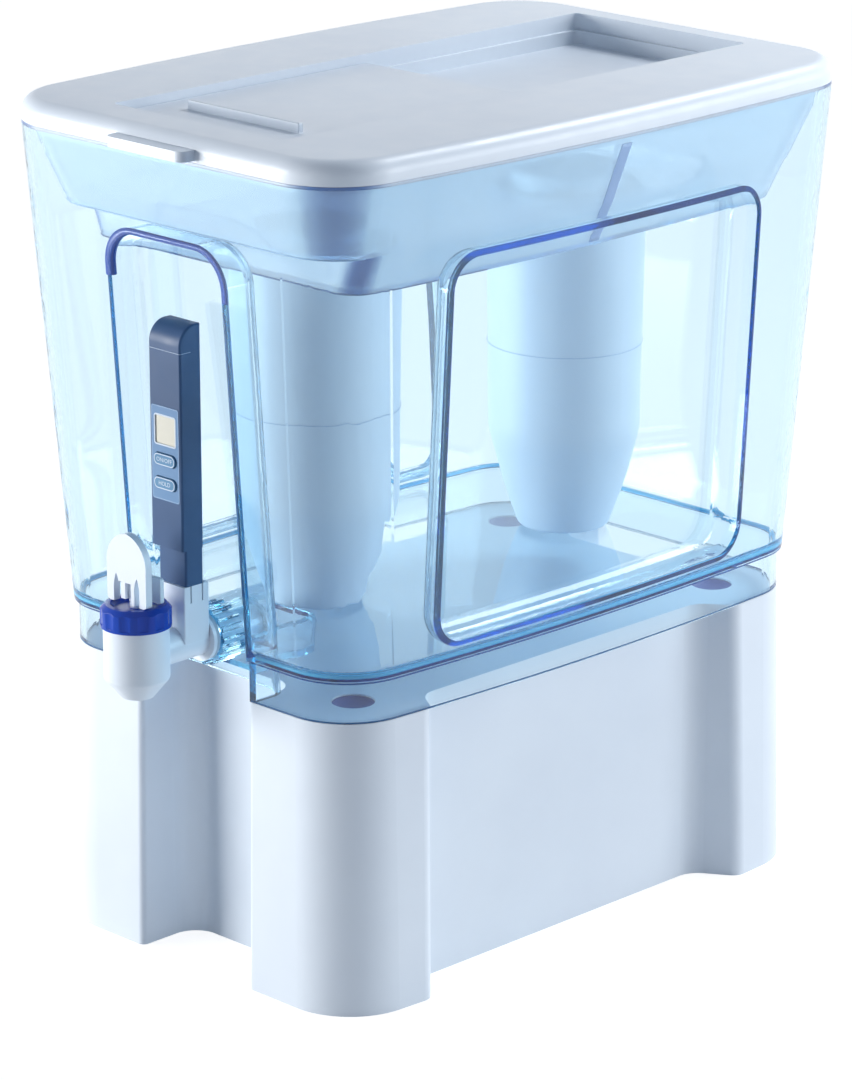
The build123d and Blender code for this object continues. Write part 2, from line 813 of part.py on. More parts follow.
with BuildPart() as tap_rear_washer:
    with BuildSketch(facing_front(rear_washer_y, tap_height)):
        Circle(washer_radius)
        Circle(shank_radius + shaft_gap, mode=Mode.SUBTRACT)
    extrude(amount=rear_washer_thickness)
tap_rear_washer.part.label = "tap_rear_washer"
export_step(tap_rear_washer.part, "parts/tap_rear_washer.step")

with BuildPart() as tap_nut:
    with BuildSketch(facing_front(rear_washer_y - nut_thickness, tap_height)):
        Circle(nut_radius)
        with PolarLocations(nut_radius + 0.8, 12):
            Circle(1.7, mode=Mode.SUBTRACT)
        Circle(shank_radius + shaft_gap, mode=Mode.SUBTRACT)
    extrude(amount=nut_thickness)
tap_nut.part.label = "tap_nut"
export_step(tap_nut.part, "parts/tap_nut.step")

cup_top = chamber_top + thread_rise
cup_waist = seat_height + 0.65 * (chamber_top - seat_height)
with BuildPart() as tap_seat_cup:
    add(
        tap_profile(
            (0, seat_height),
            (spout_bore + 1.4, seat_height),
            (spout_bore + 1.4, seat_height + 6),
            (9.4, cup_waist),
            (chamber_bore - 0.8, chamber_top),
            (thread_radius - 1.35, chamber_top),
            (thread_radius - 1.35, cup_top),
            (chamber_bore - 2.2, cup_top),
            (8.0, cup_waist + 1),
            (stem_radius + 1.6, seat_height + 9),
            (stem_radius + shaft_gap, seat_height + 9),
            (stem_radius + shaft_gap, stem_low),
            (0, stem_low),
        )
    )
tap_seat_cup.part.label = "tap_seat_cup"
export_step(tap_seat_cup.part, "parts/tap_seat_cup.step")

with BuildPart() as tap_bonnet:
    add(
        tap_profile(
            (0, chamber_top + 0.2),
            (bonnet_radius, chamber_top + 0.2),
            (bonnet_radius, bonnet_wall_top),
            (bonnet_crest_radius, bonnet_crest),
            (bonnet_crest_radius - 2.5, bonnet_crest),
            (bonnet_crest_radius - 4.5, bonnet_dish),
            (0, bonnet_dish),
        )
    )
    # finger flutes round the rim
    with BuildSketch(Plane(origin=(0, tap_y, chamber_top + 1.6), x_dir=(1, 0, 0), z_dir=(0, 0, 1))):
        with PolarLocations(bonnet_radius + 11.3, 12):
            Circle(11.9)
    extrude(amount=20, mode=Mode.SUBTRACT)
    with BuildSketch(Plane(origin=(0, tap_y, chamber_top), x_dir=(1, 0, 0), z_dir=(0, 0, 1))):
        Circle(thread_radius + shaft_gap)
    extrude(amount=thread_rise, mode=Mode.SUBTRACT)
    add(
        tap_profile(
            (0, cup_top - 1),
            (chamber_bore - 2.4, cup_top - 1),
            (chamber_bore - 2.4, cup_top),
            (stem_radius + 3, bonnet_dish - 2.4),
            (stem_radius + shaft_gap, bonnet_dish - 2.4),
            (stem_radius + shaft_gap, bonnet_crest),
            (0, bonnet_crest),
        ),
        mode=Mode.SUBTRACT,
    )
tap_bonnet.part.label = "tap_bonnet"
export_step(tap_bonnet.part, "parts/tap_bonnet.step")

with BuildPart() as tap_stem:
    add(tap_profile((0, stem_low), (stem_radius, stem_low), (stem_radius, pin_height - 6.5), (0, pin_height - 6.5)))
    with BuildSketch(Plane(origin=(0, tap_y, 0), x_dir=(0, 1, 0), z_dir=(1, 0, 0))):
        with Locations((0, pin_height - 1.3)):
            SlotCenterToCenter(5.6, 5.6, rotation=90)
        with Locations((0, pin_height)):
            Circle(pin_radius + shaft_gap, mode=Mode.SUBTRACT)
    extrude(amount=1.9, both=True)
tap_stem.part.label = "tap_stem"
export_step(tap_stem.part, "parts/tap_stem.step")

with BuildPart() as tap_lever_pin:
    with BuildSketch(Plane(origin=(0, tap_y, pin_height), x_dir=(0, 1, 0), z_dir=(1, 0, 0))):
        Circle(pin_radius)
    extrude(amount=5.6, both=True)
    chamfer(tap_lever_pin.edges().filter_by(GeomType.CIRCLE), 0.3)
tap_lever_pin.part.label = "tap_lever_pin"
export_step(tap_lever_pin.part, "parts/tap_lever_pin.step")

with BuildPart() as tap_lever:
    # paddle: parallel sides, an arched top and prongs with rounded feet
    shoulder = lever_top - lever_half * 1.25
    with BuildSketch(facing_front(tap_axis_y + lever_front - lever_thickness)) as paddle:
        with BuildLine():
            Line((-lever_half, lever_low), (lever_half, lever_low))
            Line((lever_half, lever_low), (lever_half, shoulder))
            ThreePointArc((lever_half, shoulder), (lever_half * 0.74, lever_top - 5.6), (0, lever_top))
            ThreePointArc((0, lever_top), (-lever_half * 0.74, lever_top - 5.6), (-lever_half, shoulder))
            Line((-lever_half, shoulder), (-lever_half, lever_low))
        make_face()
        fillet(paddle.vertices().group_by(Axis.Y)[0], 2.5)
        for side in (1, -1):
            with BuildLine():
                Line((side * 5.6, lever_low - 1), (side * 9.4, lever_low - 1))
                Line((side * 9.4, lever_low - 1), (side * 9.4, lever_low + 6))
                ThreePointArc((side * 9.4, lever_low + 6), (side * 9.0, lever_low + 11), (side * 7.6, lever_low + 15))
                ThreePointArc((side * 7.6, lever_low + 15), (side * 6.0, lever_low + 11), (side * 5.6, lever_low + 6))
                Line((side * 5.6, lever_low + 6), (side * 5.6, lever_low - 1))
            make_face(mode=Mode.SUBTRACT)
        with Locations((-1.25, lever_low + 5)):
            Rectangle(9.1, 12, mode=Mode.SUBTRACT)
    extrude(amount=lever_thickness)
    # heel plate behind the stem and the bridge that carries the pin
    with BuildSketch(facing_front(tap_axis_y - heel_back)) as heel:
        with Locations((0, (lever_low + heel_top) / 2)):
            Rectangle(2 * heel_half, heel_top - lever_low)
        fillet(heel.vertices(), 1.5)
    extrude(amount=heel_thickness)
    with BuildSketch(facing_front(tap_axis_y - heel_back + 1)):
        with Locations((0, (lever_low + 2 + heel_top - 1) / 2)):
            Rectangle(10.6, heel_top - lever_low - 3)
    extrude(amount=heel_back - 1 + lever_front - 1)
    with BuildSketch(Plane(origin=(0, tap_y, lever_low - 1), x_dir=(1, 0, 0), z_dir=(0, 0, 1))):
        with Locations((0, -1.4)):
            Rectangle(4.2, 11.6)
    extrude(amount=pin_height + 4.8 - lever_low + 1, mode=Mode.SUBTRACT)
    with BuildSketch(Plane(origin=(0, tap_y, pin_height), x_dir=(0, 1, 0), z_dir=(1, 0, 0))):
        Circle(pin_radius + shaft_gap)
    extrude(amount=12, both=True, mode=Mode.SUBTRACT)
tap_lever.part.label = "tap_lever"
export_step(tap_lever.part, "parts/tap_lever.step")


# ---------------------------------------------------------------- meter clip and meter
def meter_box(half, front, back, low, high, round_by=0.0):
    """Upright block between two heights; front and back are distances before the stand's middle."""
    with BuildPart() as block:
        with BuildSketch(level(low)):
            with Locations((0, -(front + back) / 2)):
                if round_by:
                    RectangleRounded(2 * half, front - back, round_by)
                else:
                    Rectangle(2 * half, front - back)
        extrude(amount=high - low)
    return block.part


pocket_front = cap_front_y - cap_tip_inset + fit_gap
pocket_back = cap_back_y + cap_tip_inset - fit_gap
with BuildPart() as meter_holder:
    add(meter_box(holder_half, holder_front_y, holder_back_y, holder_low, holder_top, 0.8))
    pocket_low = tap_height + pipe_radius + holder_wall + 0.5
    add(
        meter_box(holder_half - holder_wall, pocket_front, pocket_back, pocket_low, holder_top + 1),
        mode=Mode.SUBTRACT,
    )
    add(
        meter_box(
            holder_half - holder_wall,
            pocket_back - holder_wall,
            holder_back_y + holder_wall,
            pocket_low,
            holder_top + 1,
        ),
        mode=Mode.SUBTRACT,
    )
    with BuildSketch(facing_front(holder_back_y - 1, tap_height)):
        Circle(pipe_radius + shaft_gap)
    extrude(amount=holder_front_y - holder_back_y + 2, mode=Mode.SUBTRACT)
    # slits that let each side wall flex as a spring clip
    for spot in (holder_front_y - 4.7, holder_front_y - 12.3):
        add(meter_box(holder_half + 1, spot + 0.45, spot - 0.45, holder_top - 9, holder_top + 1), mode=Mode.SUBTRACT)
meter_holder.part.label = "meter_holder"
export_step(meter_holder.part, "parts/meter_holder.step")

cap_plug_half = cap_half - cap_wall - 0.1
cap_plug_front = cap_front_y - cap_wall - 0.1
cap_plug_back = cap_back_y + cap_wall + 0.1
with BuildPart() as meter_probe_cap:
    add(meter_box(cap_half, cap_front_y, cap_back_y, holder_top, meter_low, 1.2))
    tip = meter_box(
        cap_tip_half, cap_front_y - cap_tip_inset, cap_back_y + cap_tip_inset, cap_tip_low, holder_top + 1, 1
    )
    add(tip)
    add(
        meter_box(cap_half - cap_wall, cap_front_y - cap_wall, cap_back_y + cap_wall, holder_top, meter_low + 1),
        mode=Mode.SUBTRACT,
    )
    add(
        meter_box(
            cap_tip_half - cap_wall,
            cap_front_y - cap_tip_inset - cap_wall,
            cap_back_y + cap_tip_inset + cap_wall,
            cap_tip_low + cap_wall,
            holder_top + 1,
        ),
        mode=Mode.SUBTRACT,
    )
meter_probe_cap.part.label = "meter_probe_cap"
export_step(meter_probe_cap.part, "parts/meter_probe_cap.step")

with BuildPart() as meter_body:
    add(meter_box(meter_half, meter_front_y, meter_back_y, meter_low, meter_seam, 1.2))
    add(meter_box(cap_plug_half, cap_plug_front, cap_plug_back, meter_low - 8, meter_low + 1))
    add(
        meter_box(
            meter_half - meter_wall,
            meter_front_y - meter_wall,
            meter_back_y + meter_wall,
            meter_low + meter_wall,
            meter_seam + 1,
        ),
        mode=Mode.SUBTRACT,
    )
    # recess for the faceplate, with windows for display and buttons
    with BuildSketch(facing_front(meter_front_y - 0.6)):
        with Locations((0, (label_low + label_top) / 2)):
            RectangleRounded(2 * label_half, label_top - label_low, 1.5)
    extrude(amount=1, mode=Mode.SUBTRACT)
    with BuildSketch(facing_front(meter_front_y - 3)):
        with Locations((0, (screen_low + screen_top) / 2)):
            RectangleRounded(2 * screen_half + 0.2, screen_top - screen_low + 0.2, 1)
        with Locations((0, power_button_height), (0, hold_button_height)):
            RectangleRounded(2 * button_half + fit_gap, button_height + fit_gap, 3)
    extrude(amount=4, mode=Mode.SUBTRACT)
meter_body.part.label = "meter_body"
export_step(meter_body.part, "parts/meter_body.step")

with BuildPart() as meter_faceplate:
    with BuildSketch(facing_front(meter_front_y - 0.6)):
        with Locations((0, (label_low + label_top) / 2)):
            RectangleRounded(2 * label_half - 0.1, label_top - label_low - 0.1, 1.4)
        with Locations((0, (screen_low + screen_top) / 2)):
            RectangleRounded(2 * screen_half, screen_top - screen_low, 0.8, mode=Mode.SUBTRACT)
        with Locations((0, power_button_height), (0, hold_button_height)):
            RectangleRounded(2 * button_half + fit_gap, button_height + fit_gap, 3, mode=Mode.SUBTRACT)
    extrude(amount=0.8)
meter_faceplate.part.label = "meter_faceplate"
export_step(meter_faceplate.part, "parts/meter_faceplate.step")

with BuildPart() as meter_screen:
    with BuildSketch(facing_front(meter_front_y - 2.6)):
        with Locations((0, (screen_low + screen_top) / 2)):
            RectangleRounded(2 * screen_half - 0.1, screen_top - screen_low - 0.1, 0.8)
    extrude(amount=2.3)
meter_screen.part.label = "meter_screen"
export_step(meter_screen.part, "parts/meter_screen.step")

for kind, height in (("power", power_button_height), ("hold", hold_button_height)):
    with BuildPart() as meter_button:
        with BuildSketch(facing_front(meter_front_y - 0.8)):
            with Locations((0, height)):
                RectangleRounded(2 * button_half - fit_gap, button_height - fit_gap, 2.8)
        extrude(amount=2)
        fillet(meter_button.faces().sort_by(Axis.Y)[0].edges(), 0.4)
        with BuildSketch(facing_front(meter_front_y - 4.8)):
            with Locations((0, height)):
                Circle(1.8)
        extrude(amount=4.2)
    meter_button.part.label = f"meter_{kind}_button"
    export_step(meter_button.part, f"parts/meter_{kind}_button.step")

with BuildPart() as meter_head:
    with BuildSketch(side_plane()):
        with BuildLine():
            Polyline(
                (-meter_front_y + head_round, meter_top),
                (-meter_back_y, meter_top),
                (-meter_back_y, meter_seam),
                (-meter_front_y, meter_seam),
                (-meter_front_y, meter_top - head_round),
            )
            ThreePointArc(
                (-meter_front_y, meter_top - head_round),
                (-meter_front_y + head_round * (1 - cos(pi / 4)), meter_top - head_round * (1 - sin(pi / 4))),
                (-meter_front_y + head_round, meter_top),
            )
        make_face()
    extrude(amount=meter_half, both=True)
    fillet(meter_head.edges().filter_by(Axis.Z), 1.2)
    with BuildSketch(level(meter_seam - 1)):
        with Locations((0, -(meter_front_y - 3.4 + meter_back_y + meter_wall) / 2)):
            Rectangle(2 * (meter_half - meter_wall), meter_front_y - 3.4 - meter_back_y - meter_wall)
    extrude(amount=8, mode=Mode.SUBTRACT)
    with BuildSketch(level(meter_seam - 3)):
        with Locations((0, -(meter_front_y + meter_back_y) / 2)):
            Rectangle(
                2 * (meter_half - meter_wall) - 0.2, meter_front_y - meter_back_y - 2 * meter_wall - 0.2
            )
            Rectangle(
                2 * (meter_half - meter_wall) - 2.2,
                meter_front_y - meter_back_y - 2 * meter_wall - 2.2,
                mode=Mode.SUBTRACT,
            )
    extrude(amount=3.2)
meter_head.part.label = "meter_head"
export_step(meter_head.part, "parts/meter_head.step")

meter_mid_y = (meter_front_y + meter_back_y) / 2
board_y = meter_front_y - meter_wall - 4.6
board_low = meter_low + 4
board_top = label_top - 2
cell_high = meter_seam - cell_drop
cell_low = cell_high - cell_pitch
with BuildPart() as meter_board:
    with BuildSketch(facing_front(board_y - 1.2)):
        with Locations((0, (board_low + board_top) / 2)):
            Rectangle(2 * (meter_half - meter_wall) - 1, board_top - board_low)
    extrude(amount=1.2)
    with BuildSketch(facing_front(board_y)):
        with Locations((0, power_button_height), (0, hold_button_height)):
            Rectangle(5, 5)
    extrude(amount=0.7)
    # contact strips up to the cells
    with BuildSketch(facing_front(board_y - 0.9)):
        with Locations((-6, (board_top - 1 + cell_low + 4.5) / 2), (6, (board_top - 1 + cell_low + 4.5) / 2)):
            Rectangle(3, cell_low + 4.5 - board_top + 1)
    extrude(amount=0.6)
meter_board.part.label = "meter_board"
export_step(meter_board.part, "parts/meter_board.step")

with BuildPart() as meter_batteries:
    with BuildSketch(facing_front(board_y - 1.2 - 4.2)):
        with Locations((0, cell_low), (0, cell_high)):
            Circle(cell_radius)
    extrude(amount=4.1)
    chamfer(meter_batteries.edges().filter_by(GeomType.CIRCLE), 0.4)
meter_batteries.part.label = "meter_batteries"
export_step(meter_batteries.part, "parts/meter_batteries.step")

with BuildPart() as meter_probe:
    add(meter_box(5.5, meter_mid_y + 2, meter_mid_y - 2, meter_low - 11, meter_low - 8))
    with BuildSketch(level(meter_low - 26)):
        with Locations((-3, -meter_mid_y), (3, -meter_mid_y)):
            Circle(0.9)
    extrude(amount=15.5)
meter_probe.part.label = "meter_probe"
export_step(meter_probe.part, "parts/meter_probe.step")
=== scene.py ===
import json
import math

import bmesh
import bpy
import numpy as np
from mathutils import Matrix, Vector

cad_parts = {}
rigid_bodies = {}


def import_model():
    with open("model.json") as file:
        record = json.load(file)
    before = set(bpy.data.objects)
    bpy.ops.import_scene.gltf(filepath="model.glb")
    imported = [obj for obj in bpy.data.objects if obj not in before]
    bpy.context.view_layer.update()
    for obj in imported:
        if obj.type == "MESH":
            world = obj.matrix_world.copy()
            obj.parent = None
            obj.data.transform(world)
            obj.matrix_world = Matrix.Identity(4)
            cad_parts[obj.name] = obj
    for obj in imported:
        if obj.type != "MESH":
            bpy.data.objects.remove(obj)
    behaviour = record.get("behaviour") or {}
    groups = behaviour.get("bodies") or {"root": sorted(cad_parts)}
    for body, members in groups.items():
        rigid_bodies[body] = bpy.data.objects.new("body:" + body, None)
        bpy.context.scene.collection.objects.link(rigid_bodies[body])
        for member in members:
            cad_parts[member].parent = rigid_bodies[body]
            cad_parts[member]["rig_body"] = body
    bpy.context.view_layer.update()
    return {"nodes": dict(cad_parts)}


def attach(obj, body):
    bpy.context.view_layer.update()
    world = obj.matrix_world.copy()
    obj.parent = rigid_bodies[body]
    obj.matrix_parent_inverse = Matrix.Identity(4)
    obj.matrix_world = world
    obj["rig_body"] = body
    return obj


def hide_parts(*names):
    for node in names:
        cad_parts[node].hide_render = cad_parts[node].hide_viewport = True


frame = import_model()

scene = bpy.context.scene
mm = 0.001
standY = 18.1  # the stand's middle, behind the origin, in millimetres


view = {
    "place": (1.6015, -1.5987, 0.9055), "lookAt": (-0.0082, 0.0202, 0.1889),  # metres
    "lens": 150.62, "sensor": 36.0, "near": 0.05, "far": 60,
}


# a long lens, some way off and above the object's top, turned so that its -Z axis points at lookAt
def makeCamera():
    data = bpy.data.cameras.new("camera")
    data.lens = view["lens"]
    data.sensor_width = view["sensor"]
    data.clip_start, data.clip_end = view["near"], view["far"]
    camera = bpy.data.objects.new("camera", data)
    scene.collection.objects.link(camera)
    place, spot = Vector(view["place"]), Vector(view["lookAt"])
    camera.location = place
    camera.rotation_euler = (spot - place).to_track_quat("-Z", "Y").to_euler()
    scene.camera = camera


makeCamera()
scene.view_settings.view_transform = "Standard"
# light runs a long way inside a clear wall
scene.cycles.max_bounces = 72
scene.cycles.transmission_bounces = 64
scene.cycles.glossy_bounces = 64
scene.cycles.transparent_max_bounces = 48
print("camera set")


# a screen colour, 0 to 255, as the linear colour that shaders take, by the sRGB curve
def linear(red, green, blue):
    given = np.array([red, green, blue]) / 255
    worked = np.where(given <= 0.04045, given / 12.92, ((given + 0.055) / 1.055) ** 2.4)
    return (*worked.tolist(), 1.0)


# one material and its nodes; wire joins an output to an input, whichever nodes they sit on
class Finish:
    def __init__(self, name):
        self.material = bpy.data.materials.new(name)
        self.material.use_nodes = True
        self.tree = self.material.node_tree
        self.tree.nodes.clear()
        self.out = self.node("ShaderNodeOutputMaterial")
        self.skin = self.node("ShaderNodeBsdfPrincipled")
        self.place = self.node("ShaderNodeTexCoord")
        self.wire(self.skin.outputs[0], self.out.inputs["Surface"])

    def node(self, kind, **settings):
        made = self.tree.nodes.new(kind)
        for name, value in settings.items():
            if name.startswith("in_"):
                made.inputs[name[3:].replace("_", " ")].default_value = value
            else:
                setattr(made, name, value)
        return made

    def wire(self, source, target):
        self.tree.links.new(source, target)

    # noise in metres, so scale is bumps a metre; stretch above 1 packs it closer along that axis
    def noise(self, scale, detail, roughness=0.5, stretch=(1, 1, 1)):
        spread = self.node("ShaderNodeMapping", in_Scale=stretch)
        self.wire(self.place.outputs["Object"], spread.inputs["Vector"])
        made = self.node("ShaderNodeTexNoise", in_Scale=scale, in_Detail=detail, in_Roughness=roughness)
        self.wire(spread.outputs[0], made.inputs["Vector"])
        return made.outputs["Fac"]

    # colours along 0 to 1: each stop is its place and its screen colour
    def ramp(self, factor, *stops):
        made = self.node("ShaderNodeValToRGB")
        band = made.color_ramp
        while len(band.elements) < len(stops):
            band.elements.new(0.5)
        for element, (place, colour) in zip(band.elements, stops):
            element.position = place
            element.color = linear(*colour)
        self.wire(factor, made.inputs["Fac"])
        return made.outputs["Color"]

    # a number that runs from low to high while factor runs from start to end
    def span(self, factor, low, high, start, end):
        made = self.node("ShaderNodeMapRange")
        for name, value in (("From Min", start), ("From Max", end), ("To Min", low), ("To Max", high)):
            made.inputs[name].default_value = value
        self.wire(factor, made.inputs["Value"])
        return made.outputs["Result"]

    def bump(self, height, strength, distance):
        made = self.node("ShaderNodeBump", in_Strength=strength, in_Distance=distance)
        self.wire(height, made.inputs["Height"])
        return made.outputs["Normal"]

    # rays from lamps and from dull surfaces pass straight through the clear plastic, the second kind dimmer
    def letLightThrough(self, tint, dim):
        path = self.node("ShaderNodeLightPath")
        either = self.node("ShaderNodeMath", operation="MAXIMUM")
        self.wire(path.outputs["Is Shadow Ray"], either.inputs[0])
        self.wire(path.outputs["Is Diffuse Ray"], either.inputs[1])
        film = self.node("ShaderNodeBsdfTransparent")
        self.wire(self.ramp(path.outputs["Is Shadow Ray"], (0.0, dim), (1.0, tint)), film.inputs["Color"])
        mixed = self.node("ShaderNodeMixShader")
        self.wire(either.outputs[0], mixed.inputs[0])
        self.wire(self.skin.outputs[0], mixed.inputs[1])
        self.wire(film.outputs[0], mixed.inputs[2])
        self.wire(mixed.outputs[0], self.out.inputs["Surface"])

    # light fades in the plastic's depth, so thick edges turn deep blue
    def soakUp(self, colour, density):
        depth = self.node("ShaderNodeVolumeAbsorption", in_Color=colour, in_Density=density)
        self.wire(depth.outputs[0], self.out.inputs["Volume"])


opaqueLook = {
    "drift": 9.0, "toneEnds": (0.36, 0.64), "wander": 81.0, "wanderEnds": (0.3, 0.7),
    "grain": 2600, "grainStrength": 0.05, "grainHeight": 0.00006, "ior": 1.5,
}


# opaque moulding: a slow drift between two tones, a fine orange-peel skin and a roughness that wanders
def mouldedPlastic(name, light, dark, roughness=(0.30, 0.42), specular=0.5):
    look = opaqueLook
    made = Finish(name)
    darkEnd, lightEnd = look["toneEnds"]
    tone = made.ramp(made.noise(look["drift"], detail=4), (darkEnd, dark), (lightEnd, light))
    made.wire(tone, made.skin.inputs["Base Color"])
    wander = made.noise(look["wander"], detail=3)
    made.wire(made.span(wander, *roughness, *look["wanderEnds"]), made.skin.inputs["Roughness"])
    peel = made.bump(made.noise(look["grain"], detail=2), look["grainStrength"], look["grainHeight"])
    made.wire(peel, made.skin.inputs["Normal"])
    made.skin.inputs["Specular IOR Level"].default_value = specular
    made.skin.inputs["IOR"].default_value = look["ior"]
    return made


white = (255, 255, 255)
clearLook = {
    "ior": 1.49, "rimBlend": 0.28, "rimEnds": (0.68, 0.98), "cornerShadeEnds": (0.78, 0.95),
    "flowStretch": (1, 1, 0.35), "haze": 40, "hazeEnds": (0.35, 0.75),
    "lampTint": (251, 254, 255), "bounceTint": (228, 243, 252),
}


# clear moulding: slow flow waves in the skin, faint haze, and a colour that deepens with the path inside
# and towards the rims, where the skin is seen edge-on; corner is painted shade on the upright rounded
# corners, which get less of the side lamps' light, and wave is the flow's scale, strength and height
def clearPlastic(name, face, edge, depth, density, roughness, wave, clarity, corner=white):
    look = clearLook
    made = Finish(name)
    rim = made.node("ShaderNodeLayerWeight", in_Blend=look["rimBlend"])
    faceEnd, edgeStart = look["rimEnds"]
    skinColour = made.ramp(rim.outputs["Facing"], (0.0, face), (faceEnd, face), (edgeStart, edge))
    # painted shade: upright surfaces whose normals lie near a 45 degree diagonal are darkened towards corner
    turned = made.node("ShaderNodeVectorMath", operation="ABSOLUTE")
    made.wire(made.place.outputs["Normal"], turned.inputs[0])
    diagonal = made.node("ShaderNodeVectorMath", operation="DOT_PRODUCT")
    made.wire(turned.outputs[0], diagonal.inputs[0])
    diagonal.inputs[1].default_value = (0.7071, 0.7071, 0.0)  # a sideways direction at 45 degrees
    plainEnd, shadeStart = look["cornerShadeEnds"]
    cornerShadeColour = made.ramp(diagonal.outputs["Value"], (0.0, white), (plainEnd, white), (shadeStart, corner))
    both = made.node("ShaderNodeMix", data_type="RGBA", blend_type="MULTIPLY")
    both.inputs[0].default_value = 1.0
    made.wire(skinColour, both.inputs[6])
    made.wire(cornerShadeColour, both.inputs[7])
    made.wire(both.outputs[2], made.skin.inputs["Base Color"])
    made.skin.inputs["Transmission Weight"].default_value = clarity
    made.skin.inputs["IOR"].default_value = look["ior"]
    scale, strength, height = wave
    flow = made.noise(scale, detail=2, roughness=0.4, stretch=look["flowStretch"])
    haze = made.noise(look["haze"], detail=4)
    made.wire(made.span(haze, *roughness, *look["hazeEnds"]), made.skin.inputs["Roughness"])
    made.wire(made.bump(flow, strength, height), made.skin.inputs["Normal"])
    made.letLightThrough(look["lampTint"], look["bounceTint"])
    made.soakUp(depth, density)
    return made


# one finish for each of the record's slots
finishes = {
    "white": mouldedPlastic("whitePlastic", (226, 235, 244), (220, 229, 239)),
    "clear_blue": clearPlastic(
        "tankPlastic", (248, 252, 255), (84, 138, 182), (0.05, 0.66, 0.86, 1), 36, (0.0, 0.03),
        wave=(14, 0.12, 0.0006), clarity=0.985
    ),
    "clear_pale": clearPlastic(
        "tubPlastic", (248, 251, 255), (214, 226, 245), (0.40, 0.72, 0.92, 1), 16, (0.02, 0.10),
        # corner: painted shade darkening the tub's upright rounded corners
        wave=(9, 0.02, 0.0002), clarity=0.60, corner=(104, 138, 192)
    ),
    "filter_shell": mouldedPlastic("filterPlastic", (238, 243, 250), (230, 237, 246), (0.34, 0.48)),
    "filter_screen": mouldedPlastic("filterScreen", (196, 206, 218), (182, 194, 208), (0.5, 0.62)),
    "seal_grey": mouldedPlastic("sealRubber", (176, 188, 200), (158, 171, 186), (0.55, 0.7)),
    "cup_white": mouldedPlastic("cupSilicone", (232, 234, 232), (220, 223, 222), (0.45, 0.6)),
    "royal_blue": mouldedPlastic("bonnetPlastic", (8, 66, 176), (4, 40, 138), (0.14, 0.24), specular=0.25),
    "pin_steel": mouldedPlastic("pinSteel", (196, 198, 202), (170, 173, 178), (0.22, 0.34)),
    "meter_navy": mouldedPlastic("meterPlastic", (52, 86, 128), (40, 70, 108), (0.38, 0.5), specular=0.3),
    "label_navy": mouldedPlastic("labelFilm", (108, 146, 184), (94, 130, 170), (0.28, 0.4), specular=0.3),
    "lcd": mouldedPlastic("displayGlass", (232, 228, 210), (206, 204, 192), (0.12, 0.2)),
    "key_navy": mouldedPlastic("keyPlastic", (92, 142, 178), (78, 124, 162), (0.3, 0.44), specular=0.3),
    "cell_steel": mouldedPlastic("cellSteel", (190, 192, 196), (166, 168, 174), (0.2, 0.32)),
    "board_green": mouldedPlastic("boardGreen", (30, 96, 60), (22, 76, 48), (0.4, 0.5)),
    "probe_metal": mouldedPlastic("probeMetal", (200, 202, 206), (178, 182, 188), (0.2, 0.3)),
}
for metal in ("pin_steel", "cell_steel", "probe_metal"):
    finishes[metal].skin.inputs["Metallic"].default_value = 1.0

for name, node in frame["nodes"].items():
    for slot in node.material_slots:
        slot.material = finishes[slot.material.name.split(".")[0]].material
print("finishes made:", len(finishes))


softEdges = {  # node: edge radius in millimetres
    "lid": 0.7, "lid_door": 0.5, "meter_holder": 0.35, "tap_bonnet": 0.35,
    "tap_body": 0.4, "meter_body": 0.35, "meter_head": 0.35, "meter_probe_cap": 0.35,
}
# points closer than weld become one, faces that meet flatter than flat are joined, and edges steeper than
# sharp are rolled
rolling = {"weld": 0.02 * mm, "flat": math.radians(0.6), "sharp": math.radians(30), "segments": 3}


# the node's own shape with every sharp edge rolled over by a small radius, as a mould leaves it
def addSoftened(name, radius):
    node = frame["nodes"][name]
    mesh = node.data.copy()
    mesh.name = name + "Soft"
    shape = bmesh.new()
    shape.from_mesh(mesh)
    bmesh.ops.remove_doubles(shape, verts=shape.verts, dist=rolling["weld"])
    bmesh.ops.dissolve_limit(
        shape, angle_limit=rolling["flat"], verts=shape.verts, edges=shape.edges, delimit={"MATERIAL"}
    )
    for face in shape.faces:
        face.smooth = True
    for edge in shape.edges:
        edge.smooth = not (edge.is_manifold and edge.calc_face_angle(0) > rolling["sharp"])
    shape.to_mesh(mesh)
    shape.free()
    if "custom_normal" in mesh.attributes:
        mesh.attributes.remove(mesh.attributes["custom_normal"])
    piece = bpy.data.objects.new(name + "Soft", mesh)
    scene.collection.objects.link(piece)
    roll = piece.modifiers.new("rolledEdge", "BEVEL")
    roll.width = radius * mm
    roll.segments = rolling["segments"]
    roll.limit_method = "ANGLE"
    roll.angle_limit = rolling["sharp"]
    roll.use_clamp_overlap = True
    roll.harden_normals = True
    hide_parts(name)
    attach(piece, node["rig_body"])


for name, radius in softEdges.items():
    addSoftened(name, radius)
print("moulded edges on", len(softEdges), "pieces")


# the clear vessel's outlines: half width, half length, corner and bow, in millimetres, and their heights
vessel = {
    "rim": (122.0, 191.8, 40.0, 9.0), "rimHeight": 427.6,
    "floor": (109.2, 173.8, 36.0, 8.0), "floorHeight": 175.8,
    "foot": (107.4, 172.0, 36.0, 8.0),
}


# how far the front wall's face stands before the stand's middle: straight from the floor's edge to the rim's
def wallY(height):
    share = (height - vessel["floorHeight"]) / (vessel["rimHeight"] - vessel["floorHeight"])
    return vessel["floor"][1] + (vessel["rim"][1] - vessel["floor"][1]) * share


# an outline moved inwards: its half sizes and corner less inset, with the same bow
def insetBy(outline, inset):
    halfWidth, halfLength, corner, bow = outline
    return halfWidth - inset, halfLength - inset, corner - inset, bow
